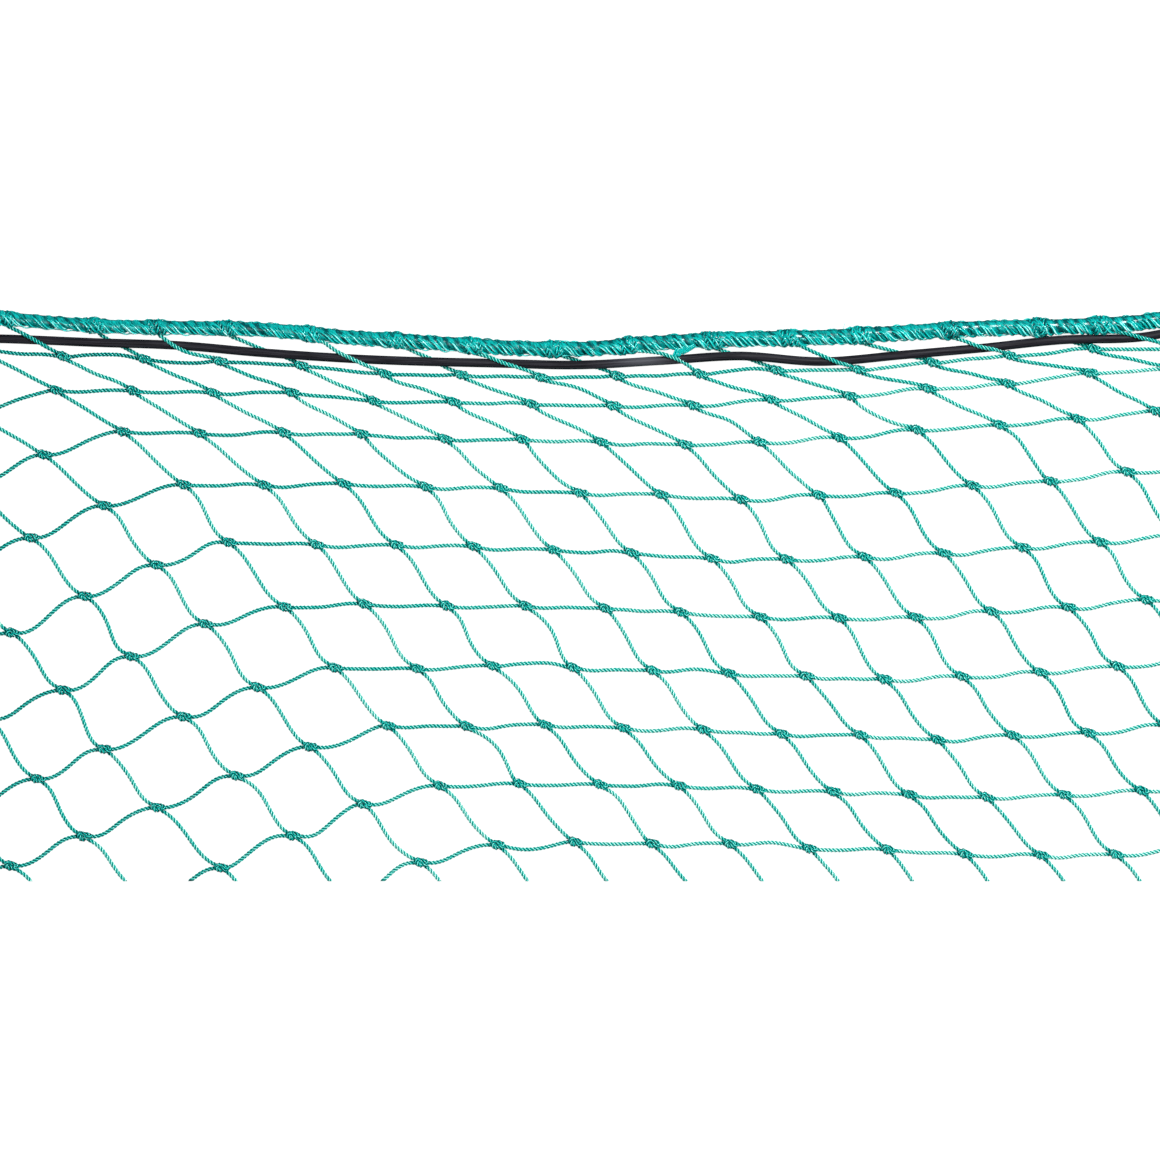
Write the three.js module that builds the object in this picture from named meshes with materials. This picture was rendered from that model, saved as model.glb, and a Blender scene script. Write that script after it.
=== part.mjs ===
// Trailer net: a cut length of knotted net that lies flat in gentle folds, hitched on to a plaited
// border cord, with an elastic cord threaded along the border.
// Millimetres. X runs along the border, Y up the net, Z up from the surface that it lies on.

import * as THREE from 'three';
import { mergeVertices } from 'three/addons/utils/BufferGeometryUtils.js';

// Twine and knots
const TWINE = 2; // thickness of the net's twine
const KNOT_HEIGHT = 4.8; // top of a knot above the surface
const KNOT_TOP_SHARE = 0.6; // size of a knot's top against its outline
const KNOT_TURN_SHARE = 0.3; // how far a knot turns with the strands that pull on its ends
const BEND_SHOWN = THREE.MathUtils.degToRad(9); // strands that bend less than this run straight

// Border cord, plaited
const BORDER_RADIUS = 4.1; // out to the crowns of its strands
const BORDER_HEIGHT = 3.4; // middle line above the surface, on which the cord is pressed flat
const PLAIT_STRANDS = 3;
const PLAIT_DEPTH = 0.9; // grooves between the strands, below their crowns
const PLAIT_TURN = 34; // length in which a strand goes once round the cord
const PLAIT_STEPS = 14; // rings in each turn
const HITCH_RISE = 0.8; // how far a hitch stands out of the border
const HITCH_REACH = 3.5; // half the length of a hitch along the border

// Elastic cord, smooth
const ELASTIC_RADIUS = 2.4;
const ELASTIC_SIDES = 8;
const ELASTIC_RING_STEP = 9;
const GAP = 0.3; // clearance between pieces that touch

// Crossings of the elastic and the top legs of the net
const LEG_LIFT = 2 * ELASTIC_RADIUS + GAP; // underside of a leg that passes over the elastic
const ELASTIC_LIFT = TWINE + GAP; // underside of the elastic where a leg passes under it

// The cut: straight at both sides and along the lower edge, which lies at y = 0 in the layout
const CUT_LEFT = -328.5;
const CUT_RIGHT = 350;
const KNOT_MARGIN = 5; // no knot is left nearer to a cut than this
const CUT_SEARCH = 2; // a strand meets its cut within so many times its length
const HALVINGS = 30; // steps in the search for a cut or a crossing
const TOP_ROW = -2;
const LAST_ROW = 8;
const FIRST_COLUMN = -13;
const LAST_COLUMN = 10;

// Knot at column 0, row 0, measured from the middle of the lower cut
const FIRST_KNOT = { x: 12, y: 247 };

// Step from a column of knots to the next one along a row, as the net lies
const ROW_STEPS = [
  { column: -12, across: 41, rise: 16 },
  { column: -10, across: 41, rise: 16.5 },
  { column: -9, across: 41, rise: 18.5 },
  { column: -8, across: 41, rise: 17.5 },
  { column: -7, across: 44, rise: 11 },
  { column: -6, across: 45, rise: 1 },
  { column: -3, across: 45, rise: -1.5 },
  { column: 0, across: 45, rise: -1.5 },
  { column: 1, across: 44.5, rise: 1.5 },
  { column: 3, across: 44.5, rise: 3.4 },
  { column: 7, across: 44.3, rise: 4.2 },
];

// Step from a row down to the next, at the left, the middle and the right of the net. Slack is how
// far the strands near that row follow their knots: 0 is taut and straight, 1 is loose and curved.
const SECTION_COLUMNS = [-8, -2, 5];
const COLUMN_STEPS = [
  { row: -2, across: [40, 40, 40.5], down: [20.5, 17.5, 12], slack: 0.35 },
  { row: -1, across: [38.5, 39.5, 38.5], down: [24, 22.5, 20], slack: 0.4 },
  { row: 0, across: [35, 34.2, 30], down: [28, 29.5, 31], slack: 0.6 },
  { row: 1, across: [29, 28, 26.5], down: [34, 34, 34.5], slack: 0.9 },
  { row: 2, across: [27.5, 28.5, 27], down: [33.5, 34, 33], slack: 1 },
  { row: 3, across: [28, 27.3, 26], down: [34.5, 34, 33.5], slack: 1 },
  { row: 4, across: [30.5, 29.5, 27.5], down: [33.5, 33.5, 33.5], slack: 1 },
  { row: 5, across: [31.5, 29.5, 28], down: [33, 33, 33], slack: 1 },
  { row: 6, across: [31, 30, 29], down: [33, 33, 33], slack: 1 },
];

// How far any knot may lie out of line, in waves of so many radians from knot to knot
const KNOT_SLIPS = [
  { axis: 'x', reach: 0.8, columnWave: 5.3, rowWave: 2.9 },
  { axis: 'y', reach: 0.5, columnWave: 3.1, rowWave: -4.7 },
];

// Knots that are pulled well out of line
const PULLED_KNOTS = [
  { column: -6, row: -2, x: 0, y: 5 },
  { column: -5, row: -2, x: 1.8, y: 0.8 },
  { column: -4, row: -2, x: 3, y: 0 },
  { column: -1, row: -2, x: 1.5, y: -2 },
  { column: 1, row: -2, x: 0, y: 1.5 },
  { column: 2, row: -2, x: -0.8, y: 1.5 },
  { column: 3, row: -2, x: 0.8, y: 1.5 },
  { column: 4, row: -2, x: -1.5, y: 1.2 },
  { column: 5, row: -2, x: -0.5, y: -0.8 },
  { column: 6, row: -2, x: -3, y: -0.7 },
  { column: 7, row: -2, x: -3, y: -0.7 },
  { column: 8, row: -2, x: 0, y: -1.1 },
  { column: 9, row: -2, x: 0, y: -5.4 },
  { column: -6, row: -1, x: 2.5, y: 2 },
  { column: -2, row: -1, x: 2.2, y: -2 },
  { column: -1, row: -1, x: 2, y: -1.7 },
  { column: 7, row: -1, x: 0.7, y: 1 },
  { column: -6, row: 0, x: 1.2, y: 1.8 },
  { column: -4, row: 0, x: 2, y: 0 },
  { column: -2, row: 0, x: 1.2, y: -1.4 },
  { column: 1, row: 0, x: 2.5, y: 0 },
  { column: 4, row: 0, x: -1.5, y: 1 },
  { column: -8, row: 1, x: 0, y: -1.8 },
  { column: -3, row: 1, x: 2.2, y: 0 },
  { column: 6, row: 1, x: -2, y: 0.5 },
  { column: -9, row: 2, x: 0, y: -2.5 },
  { column: -6, row: 2, x: -2.2, y: 2.2 },
  { column: -5, row: 2, x: 2.5, y: 0 },
  { column: -4, row: 2, x: 2, y: 0 },
  { column: 0, row: 2, x: 1.8, y: -1.5 },
  { column: -9, row: 3, x: 2.8, y: -1.4 },
  { column: -4, row: 3, x: 2, y: 0 },
  { column: -3, row: 3, x: 2.2, y: 0 },
  { column: -2, row: 3, x: 2.2, y: 1.5 },
  { column: -9, row: 4, x: -3.8, y: 0.5 },
  { column: -7, row: 4, x: 2, y: -0.5 },
  { column: -6, row: 4, x: 2, y: -0.5 },
  { column: -5, row: 4, x: 3.5, y: -1.5 },
  { column: -9, row: 5, x: -2.8, y: 1.6 },
  { column: -10, row: 5, x: -3.5, y: 1 },
  { column: -11, row: 5, x: -4, y: 1.5 },
];

// Where the four strands leave a knot, anticlockwise, and the knot that each one leads to
const ARMS = [
  { name: 'right', x: 3.2, y: 0, heading: -5, column: 1, row: 0 },
  { name: 'upper', x: -2.2, y: 2.1, heading: 140, column: 0, row: -1 },
  { name: 'left', x: -3.2, y: 0, heading: 175, column: -1, row: 0 },
  { name: 'lower', x: 2.2, y: -2.1, heading: -40, column: 0, row: 1 },
];

// Heights of the two cords' middle lines up the net, at even steps from the left to the right
const EDGE_START = -360;
const EDGE_STEP = 45;
const EDGE_LINES = [
  { border: 320, elastic: 305.5 },
  { border: 315.5, elastic: 304.5 },
  { border: 312, elastic: 302.5 },
  { border: 311, elastic: 301 },
  { border: 310, elastic: 297 },
  { border: 306, elastic: 294 },
  { border: 303, elastic: 292 },
  { border: 300, elastic: 291 },
  { border: 299, elastic: 290 },
  { border: 302.5, elastic: 292.5 },
  { border: 304.5, elastic: 295 },
  { border: 305.5, elastic: 292 },
  { border: 308, elastic: 295.5 },
  { border: 310.5, elastic: 299.5 },
  { border: 311.5, elastic: 304 },
  { border: 314, elastic: 305.7 },
  { border: 322, elastic: 314 },
];

// Places along the border where the legs of the top row are hitched on, from column -5 on
const FIRST_HITCH_COLUMN = -5;
const HITCH_X = [-321, -270, -236, -196, -143, -96, -58, -8, 38, 76, 124, 159, 209, 259, 302];

const { lerp, clamp, degToRad } = THREE.MathUtils;

// Layout of the knots and the cords

function between(stops, values, at) {
  const next = stops.findIndex((stop) => stop > at);
  if (next === -1) {
    return values[values.length - 1];
  }
  if (next === 0) {
    return values[0];
  }
  const share = (at - stops[next - 1]) / (stops[next] - stops[next - 1]);
  return lerp(values[next - 1], values[next], share);
}

function rowStep(column) {
  const stops = ROW_STEPS.map((step) => step.column);
  const across = ROW_STEPS.map((step) => step.across);
  const rise = ROW_STEPS.map((step) => step.rise);
  return new THREE.Vector2(between(stops, across, column), between(stops, rise, column));
}

function stepBelow(row) {
  return COLUMN_STEPS[clamp(row - TOP_ROW, 0, COLUMN_STEPS.length - 1)];
}

function columnStep(column, row) {
  const { across, down } = stepBelow(row);
  const [x, y] = [across, down].map((values) => between(SECTION_COLUMNS, values, column));
  return new THREE.Vector2(x, -y);
}

function knotPlace(column, row) {
  const place = new THREE.Vector2(FIRST_KNOT.x, FIRST_KNOT.y);
  for (let passed = 0; passed < column; passed += 1) {
    place.add(rowStep(passed));
  }
  for (let passed = -1; passed >= column; passed -= 1) {
    place.sub(rowStep(passed));
  }
  for (let passed = 0; passed < row; passed += 1) {
    place.add(columnStep(column, passed));
  }
  for (let passed = -1; passed >= row; passed -= 1) {
    place.sub(columnStep(column, passed));
  }
  for (const slip of KNOT_SLIPS) {
    place[slip.axis] += slip.reach * Math.sin(slip.columnWave * column + slip.rowWave * row);
  }
  const pulled = PULLED_KNOTS.find((knot) => knot.column === column && knot.row === row);
  return pulled ? place.add(pulled) : place;
}

function knotTurn(column, row) {
  const pull = knotPlace(column + 1, row).sub(knotPlace(column - 1, row));
  return KNOT_TURN_SHARE * pull.angle() - (pull.y < 0 ? KNOT_TURN_SHARE * 2 * Math.PI : 0);
}

function isKept(column, row) {
  const { x, y } = knotPlace(column, row);
  return row >= TOP_ROW && x > CUT_LEFT + KNOT_MARGIN && x < CUT_RIGHT - KNOT_MARGIN && y > KNOT_MARGIN;
}

function edgeHeight(line, x) {
  const along = (x - EDGE_START) / EDGE_STEP;
  const first = clamp(Math.floor(along), 0, EDGE_LINES.length - 2);
  const share = along - first;
  const stop = (offset) => EDGE_LINES[clamp(first + offset, 0, EDGE_LINES.length - 1)][line];
  const leave = (stop(1) - stop(-1)) / 2;
  const arrive = (stop(2) - stop(0)) / 2;
  const rest = 1 - share;
  return (
    stop(0) * rest * rest * (1 + 2 * share) +
    stop(1) * share * share * (3 - 2 * share) +
    leave * share * rest * rest -
    arrive * share * share * rest
  );
}

function edgeHeading(line, x) {
  return Math.atan2(edgeHeight(line, x + 1) - edgeHeight(line, x - 1), 2);
}

function borderRadius(x) {
  const nearest = Math.min(...HITCH_X.map((hitch) => Math.abs(x - hitch)));
  return BORDER_RADIUS + HITCH_RISE * Math.exp(-((nearest / HITCH_REACH) ** 2));
}

// Strands: a ring is the four corners of the twine's section, as seen along its heading

function ring(point, heading, low) {
  const side = new THREE.Vector2(-Math.sin(heading), Math.cos(heading)).multiplyScalar(TWINE / 2);
  const left = point.clone().add(side);
  const right = point.clone().sub(side);
  const high = low + TWINE;
  return [
    new THREE.Vector3(left.x, left.y, low),
    new THREE.Vector3(right.x, right.y, low),
    new THREE.Vector3(right.x, right.y, high),
    new THREE.Vector3(left.x, left.y, high),
  ];
}

// A ring slid along its strand until it lies in one upright plane
function ringInPlane(point, heading, low, axis, at) {
  const way = new THREE.Vector3(Math.cos(heading), Math.sin(heading), 0);
  const slide = (corner) => corner.addScaledVector(way, (at - corner[axis]) / way[axis]);
  return ring(point, heading, low).map(slide);
}

function mouth(column, row, arm) {
  const turn = knotTurn(column, row);
  const offset = new THREE.Vector2(arm.x, arm.y).rotateAround(new THREE.Vector2(), turn);
  return { point: knotPlace(column, row).add(offset), heading: turn + degToRad(arm.heading) };
}

function angleFrom(base, angle) {
  return THREE.MathUtils.euclideanModulo(angle - base + Math.PI, 2 * Math.PI) - Math.PI;
}

// A strand's curve from one mouth to the next, straight on past its end
function strandCurve(start, end, slack) {
  const chord = end.point.clone().sub(start.point);
  const length = chord.length();
  const chordAngle = chord.angle();
  const turns = [start.heading, end.heading + Math.PI].map((heading) => slack * angleFrom(chordAngle, heading));
  const tangents = turns.map((turn) => {
    const heading = chordAngle + turn;
    return new THREE.Vector2(Math.cos(heading), Math.sin(heading)).multiplyScalar(length);
  });
  const handles = [
    start.point.clone().addScaledVector(tangents[0], 1 / 3),
    end.point.clone().addScaledVector(tangents[1], -1 / 3),
  ];
  const bezier = new THREE.CubicBezierCurve(start.point, handles[0], handles[1], end.point);
  const at = (share) => {
    if (share > 1) {
      const point = end.point.clone().addScaledVector(tangents[1], share - 1);
      return { point, heading: tangents[1].angle() };
    }
    return { point: bezier.getPoint(share), heading: bezier.getTangent(share).angle() };
  };
  return { at, isCurved: Math.max(...turns.map(Math.abs)) > BEND_SHOWN };
}

function cutPassed(point) {
  if (point.x < CUT_LEFT) {
    return { axis: 'x', at: CUT_LEFT };
  }
  if (point.x > CUT_RIGHT) {
    return { axis: 'x', at: CUT_RIGHT };
  }
  return point.y < 0 ? { axis: 'y', at: 0 } : null;
}

// Share of a curve at which a test on its points turns true, found by halving
function shareWhere(curve, test, farthest) {
  let before = 0;
  let after = farthest;
  for (let halving = 0; halving < HALVINGS; halving += 1) {
    const middle = (before + after) / 2;
    if (test(curve.at(middle).point)) {
      after = middle;
    } else {
      before = middle;
    }
  }
  return after;
}

function sideRings(curve, share) {
  return [1 / 3, 2 / 3].map((third) => {
    const { point, heading } = curve.at(third * share);
    return ring(point, heading, 0);
  });
}

// Triangles of one closed solid, gathered as the parts of it are added

class Skin {
  constructor() {
    this.corners = [];
  }

  face(...corners) {
    for (let next = 2; next < corners.length; next += 1) {
      this.corners.push(corners[0], corners[next - 1], corners[next]);
    }
  }

  tube(rings) {
    for (let step = 1; step < rings.length; step += 1) {
      const [near, far] = [rings[step - 1], rings[step]];
      near.forEach((corner, side) => {
        const beside = (side + 1) % near.length;
        this.face(corner, far[side], far[beside], near[beside]);
      });
    }
  }

  startCap(first) {
    this.face(...first);
  }

  endCap(last) {
    this.face(...last.toReversed());
  }

  geometry() {
    const loose = new THREE.BufferGeometry().setFromPoints(this.corners);
    const solid = mergeVertices(loose);
    solid.computeVertexNormals();
    return solid;
  }
}

// Knots

function addKnot(skin, column, row) {
  const place = knotPlace(column, row);
  const floorCentre = new THREE.Vector3(place.x, place.y, 0);
  const mouths = ARMS.map((arm) => mouth(column, row, arm));
  const rings = mouths.map(({ point, heading }) => ring(point, heading, 0));
  const tops = mouths.map(({ point }) => {
    const top = place.clone().lerp(point, KNOT_TOP_SHARE);
    return new THREE.Vector3(top.x, top.y, KNOT_HEIGHT);
  });
  rings.forEach(([leftLow, rightLow, rightHigh, leftHigh], side) => {
    const next = (side + 1) % rings.length;
    const [, nextLow, nextHigh] = rings[next];
    skin.face(floorCentre, leftLow, rightLow);
    skin.face(floorCentre, nextLow, leftLow);
    skin.face(leftLow, nextLow, nextHigh, leftHigh);
    skin.face(rightHigh, leftHigh, tops[side]);
    skin.face(leftHigh, nextHigh, tops[next], tops[side]);
  });
  skin.face(...tops);
}

// Strands from knot to knot, and from a knot to a cut

function addStrand(skin, column, row, arm) {
  const opposite = ARMS[(ARMS.indexOf(arm) + 2) % ARMS.length];
  const [farColumn, farRow] = [column + arm.column, row + arm.row];
  const start = mouth(column, row, arm);
  const end = mouth(farColumn, farRow, opposite);
  const curve = strandCurve(start, end, stepBelow(Math.min(row, farRow)).slack);
  const firstRing = ring(start.point, start.heading, 0);
  if (isKept(farColumn, farRow)) {
    const lastRing = ring(end.point, end.heading + Math.PI, 0);
    skin.tube([firstRing, ...(curve.isCurved ? sideRings(curve, 1) : []), lastRing]);
    return;
  }
  const share = shareWhere(curve, cutPassed, CUT_SEARCH);
  const { point, heading } = curve.at(share);
  const cut = cutPassed(point);
  const lastRing = ringInPlane(point, heading, 0, cut.axis, cut.at);
  skin.tube([firstRing, ...(curve.isCurved ? sideRings(curve, share) : []), lastRing]);
  skin.endCap(lastRing);
}

// Legs from the top row of knots to the border, in turn over and under the elastic

function passesOver(column) {
  return column % 2 !== 0;
}

function legLine(column) {
  const start = mouth(column, TOP_ROW, ARMS.find((arm) => arm.name === 'upper'));
  const hitch = HITCH_X[column - FIRST_HITCH_COLUMN];
  const end = new THREE.Vector2(hitch, edgeHeight('border', hitch) - borderRadius(hitch) - GAP);
  const way = end.clone().sub(start.point);
  const at = (share) => ({ point: start.point.clone().addScaledVector(way, share) });
  const crossing = shareWhere({ at }, (point) => point.y > edgeHeight('elastic', point.x), 1);
  const crossingX = at(crossing).point.x;
  const slant = Math.abs(Math.sin(way.angle() - edgeHeading('elastic', crossingX)));
  const reach = (ELASTIC_RADIUS + TWINE / 2 + GAP) / slant;
  return { start, end, at, crossing, crossingX, reach, length: way.length(), heading: way.angle() };
}

function addLeg(skin, column) {
  const leg = legLine(column);
  const rings = [ring(leg.start.point, leg.start.heading, 0)];
  const low = passesOver(column) ? LEG_LIFT : 0;
  if (passesOver(column)) {
    const { point } = leg.at(leg.crossing - leg.reach / leg.length);
    rings.push(ring(point, leg.heading, low));
  }
  rings.push(ringInPlane(leg.end, leg.heading, low, 'y', leg.end.y));
  skin.tube(rings);
  skin.endCap(rings.at(-1));
}

function netGeometry() {
  const skin = new Skin();
  for (let row = TOP_ROW; row <= LAST_ROW; row += 1) {
    for (let column = FIRST_COLUMN; column <= LAST_COLUMN; column += 1) {
      if (!isKept(column, row)) {
        continue;
      }
      addKnot(skin, column, row);
      for (const arm of ARMS) {
        const isLeg = row + arm.row < TOP_ROW;
        const isDrawnFromThere = (arm.column + arm.row < 0) && isKept(column + arm.column, row + arm.row);
        if (isLeg) {
          addLeg(skin, column);
        } else if (!isDrawnFromThere) {
          addStrand(skin, column, row, arm);
        }
      }
    }
  }
  return skin.geometry();
}

// Cords along the border, flat where they lie on the surface

function cordRing(x, y, height, radii, turn) {
  return radii.map((radius, side) => {
    const angle = turn + (2 * Math.PI * side) / radii.length;
    const z = height + radius * Math.sin(angle);
    return new THREE.Vector3(x, y - radius * Math.cos(angle), Math.max(z, 0));
  });
}

function cordStations(ringStep) {
  const steps = Math.round((CUT_RIGHT - CUT_LEFT) / ringStep);
  return Array.from({ length: steps + 1 }, (_, step) => lerp(CUT_LEFT, CUT_RIGHT, step / steps));
}

function cordGeometry(rings) {
  const skin = new Skin();
  skin.tube(rings);
  skin.startCap(rings[0]);
  skin.endCap(rings.at(-1));
  return skin.geometry();
}

function borderGeometry() {
  const rings = cordStations(PLAIT_TURN / PLAIT_STEPS).map((x) => {
    const crown = borderRadius(x);
    const radii = Array.from({ length: PLAIT_STRANDS }, () => [crown, crown - PLAIT_DEPTH]).flat();
    const turn = (-2 * Math.PI * x) / PLAIT_TURN;
    return cordRing(x, edgeHeight('border', x), BORDER_HEIGHT, radii, turn);
  });
  return cordGeometry(rings);
}

function elasticGeometry() {
  const stops = [];
  const heights = [];
  HITCH_X.forEach((_, index) => {
    const column = FIRST_HITCH_COLUMN + index;
    const { crossingX, reach } = legLine(column);
    const height = ELASTIC_RADIUS + (passesOver(column) ? 0 : ELASTIC_LIFT);
    stops.push(crossingX - reach, crossingX + reach);
    heights.push(height, height);
  });
  const halfSide = Math.PI / ELASTIC_SIDES;
  const radii = new Array(ELASTIC_SIDES).fill(ELASTIC_RADIUS / Math.cos(halfSide));
  const rings = cordStations(ELASTIC_RING_STEP).map((x) =>
    cordRing(x, edgeHeight('elastic', x), between(stops, heights, x), radii, halfSide),
  );
  return cordGeometry(rings);
}

// Assembly, with the origin under the middle of the whole

function piece(name, geometry, color, roughness) {
  const mesh = new THREE.Mesh(geometry, new THREE.MeshStandardMaterial({ color, roughness, metalness: 0 }));
  mesh.name = name;
  return mesh;
}

const trailerNet = new THREE.Group();
trailerNet.add(piece('net', netGeometry(), 0x1fa596, 0.45));
trailerNet.add(piece('border_cord', borderGeometry(), 0x14a091, 0.4));
trailerNet.add(piece('elastic_cord', elasticGeometry(), 0x1e1b22, 0.6));

const middle = new THREE.Box3().setFromObject(trailerNet).getCenter(new THREE.Vector3());
trailerNet.position.set(-middle.x, -middle.y, 0);
trailerNet.updateMatrixWorld(true);

export default trailerNet;
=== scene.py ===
"""Looks of the trailer net: twisted twine, tied knots, plaited border with hitches, and elastic cord.

Lengths are in millimetres in the layout of the net and become metres in the meshes.
"""

import functools
import math

import bpy
import numpy as np
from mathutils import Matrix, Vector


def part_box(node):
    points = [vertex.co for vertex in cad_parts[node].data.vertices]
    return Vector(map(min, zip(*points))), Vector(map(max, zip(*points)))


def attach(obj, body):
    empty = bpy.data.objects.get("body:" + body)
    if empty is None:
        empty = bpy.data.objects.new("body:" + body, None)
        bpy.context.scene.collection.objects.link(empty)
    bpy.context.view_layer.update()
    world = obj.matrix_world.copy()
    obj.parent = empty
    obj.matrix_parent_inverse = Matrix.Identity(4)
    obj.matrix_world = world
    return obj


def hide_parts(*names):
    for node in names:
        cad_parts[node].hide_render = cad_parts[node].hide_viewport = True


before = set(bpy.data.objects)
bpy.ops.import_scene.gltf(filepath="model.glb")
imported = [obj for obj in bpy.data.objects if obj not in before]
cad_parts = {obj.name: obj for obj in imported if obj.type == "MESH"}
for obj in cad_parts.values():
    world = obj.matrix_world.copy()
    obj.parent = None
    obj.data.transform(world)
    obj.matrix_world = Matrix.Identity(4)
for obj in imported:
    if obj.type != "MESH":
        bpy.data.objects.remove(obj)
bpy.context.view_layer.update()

MM = 0.001
UP = np.array([0.0, 0.0, 1.0])
RANDOM_SEED = 11

# The picture: straight above the net
PICTURE_WIDTH = 652.5  # millimetres of net across the picture
PICTURE_MIDDLE = (0.0, 169.3)
CAMERA_HEIGHT = 2000
SENSOR_WIDTH = 36

# Twine: plies laid round each other, with a right-handed turn
TWINE_RADIUS = 1.32
PLY_COUNT = 3
PLY_RADIUS = 0.6
PLY_PITCH = 6.4
PLY_SIDES = 5
PLY_STEPS = 7  # rings in each turn
PLY_SHADES = 0.2  # how far the plies of one twine differ in tint
STRAND_LIFT = 0.4  # rise of a strand where it meets its knot
STRAND_LIFT_REACH = 4.0
STRAND_SWAY = 0.3  # how far a strand wanders from its curve
SWAY_WAVES = (1, 2, 3)  # half waves along the strand
TWINE_STEP = 0.5  # between the points of a twine's path
CURVE_POINTS = 8  # from each given point of a curve to the next
STRAND_POINTS = 40
LIE_SPREAD = 1000  # length over which the grain of the tubes is scattered
# Painted shade in the knots, which reaches this far along the strands
KNOT_SHADE_START = 6.5  # from the middle of the knot
KNOT_SHADE_FADE = 3.0
KNOT_PAINTED_LIGHT = 1.15  # painted light and shade: how much lighter the top of a knot is painted than its middle, and its lower part darker
KNOT_MIDDLE = 3.0  # its height above the ground
KNOT_TOP = 5.0

# Tints of the strands and knots, with painted light and shade: level strands painted darker at the left
# and lighter to the right, slanting ones less so, knots darker as painted shade, and all darker in the
# top row
TINT_SPREAD = 0.25
TINT_PLACES = (-300, -100, 100, 300)  # along the net
TINTS_AND_PAINTED_SHADE = {
    "level": (-0.4, 0.2, 0.8, 1.05),
    "slanting": (0.4, 0.95, 0.8, 0.65),
    # painted shade in the knots, darkest at the left
    "knots": (-1.35, -0.93, -0.88, -0.88),
}
TOP_ROW_TINT = -0.4  # on top of the others

# Border cord: a plait of strands, each of several yarns, rolled over so that its lower half shows most
BORDER_MIDDLE = 4.0
BORDER_PLACES = (-300, 0, 300)  # along the net
BORDER_GIRTHS = (0.94, 1.06, 1.14)  # how thick the cord is there, where 1 is usual
PLAIT_STRANDS = 5
PLAIT_LENGTH = 28.0  # length in which a strand crosses over and back
PLAIT_SWING = 2.9  # sideways
PLAIT_DEPTH = 2.0
PLAIT_ROLL = math.radians(52)
PLAIT_SHADOW = 0.75  # painted shade: how much darker the gaps between the strands are painted
PLAIT_SHADOW_START = 0.95  # share of the way from the middle to the surface
PLAIT_SHADOW_FADE = 0.35
# Painted light: the plait is painted lighter in its lower half and darker above it
PLAIT_PAINTED_LIGHT_HEIGHTS = (-2.5, 1.5)  # from the middle of the border
PLAIT_PAINTED_LIGHTS = (0.5, -0.3)
PLAIT_PLAIN = 2.5  # above the middle, where the painted shade in the gaps is weaker
PLAIT_PLAIN_SHADOW = 0.6
YARN_COUNT = 5
YARN_OFFSET = 0.85
YARN_RADIUS = 0.72
YARN_TURN = 24.0
YARN_TINTS = (-0.1, 0.8)
YARN_SIDES = 4
FIBRE_SIDES = 6
YARN_STEP = 0.95
YARN_INSET = 0.12  # how much shorter each yarn is cut than the one before
STRAND_RADIUS = YARN_OFFSET + YARN_RADIUS
BODY_RADIUS = 3.5
BODY_RISE = 0.35
BODY_INSET = 0.7  # from the cut
BODY_SIDES = 32
# The body is painted darkest at its upper edge, as painted shade where it turns away; RIDGE_SHADOW is
# painted shade in the creases between the ridges
BODY_TINT_HEIGHTS = (-1.0, 1.5, 2.9, 3.7)  # from the middle of the border
BODY_TINTS_AND_EDGE_SHADE = (-0.8, -0.8, -0.7, -1.1)
RIDGE_LENGTH = 6.5  # along the border, from one slanting ridge of the body to the next
RIDGE_TURNS = 2  # how many ridges meet round the body
RIDGE_DEPTH = 0.12
RIDGE_SHADOW = 0.6
RIDGE_SHARE = 0.55  # how far the ridges show, where 1 is fully
LOOP_RADIUS = 0.42  # thin yarn in loops along the lower edge
LOOP_DEPTH = 1.1
LOOP_EDGE = 3.6  # from the middle of the border, where the yarn is tucked in
LOOP_HEIGHT = 4.5
LOOP_SHARE = 0.6  # how far the loops come out, where 1 is fully
LOOP_TINT = 0.6
WANDERS = {  # unevenness along the border: its reach, and the lengths in which its waves turn a radian
    "strand": {"reach": 0.35, "waves": (9, 17, 40)},
    "yarn": {"reach": 0.22, "waves": (5, 11, 23)},
    "swing": {"reach": 0.1, "waves": (7, 13)},
    "spin": {"reach": 0.5, "waves": (5, 8, 19)},
    "offset": {"reach": 0.2, "waves": (4, 7)},
    "loop_depth": {"reach": 0.7, "waves": (23, 37)},
    "loop_height": {"reach": 0.3, "waves": (6, 11)},
    "ridge": {"reach": 0.9, "waves": (7, 13, 31)},
    "ridge_share": {"reach": 0.6, "waves": (8, 19)},
}
WAVE_SHARES = (0.4, 0.8)  # least and most that one wave gives

# Hitches: turns of twine round the border, which is swollen there
HITCH_PASSES = (1.0, -1.4, -6.0, -7.0)  # along the border from the leg, at the start of each turn
HITCH_START = -0.12  # in turns
HITCH_END = 2.62
HITCH_POINTS = 36
HITCH_TINT = -0.1
HITCH_GIRTH = 1.3  # of the twine, which is slack there
LEG_TINT = -0.3  # on top of the others
HITCH_TUCK = 4  # points of it that the leg itself follows
HITCH_LEAN = 1.4
HITCH_UNEVENNESS = 0.3
HITCH_LEAN_WAVES = 1.3  # in each turn
HITCH_OUT_WAVES = 1.7
HITCH_SINK = 1.05  # middle of the twine below the surface of the swollen border
SWELL = 0.2
SWELL_REACH = 5.0
SWELL_BACK = 2.5  # from the leg to the thickest place
LEG_END_GAP = 4.4  # from the middle of the border to the hitched end of a leg
LEG_POINTS = 24
LEG_TRIES = 200  # places along a leg tried for its crossing with the elastic

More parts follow.
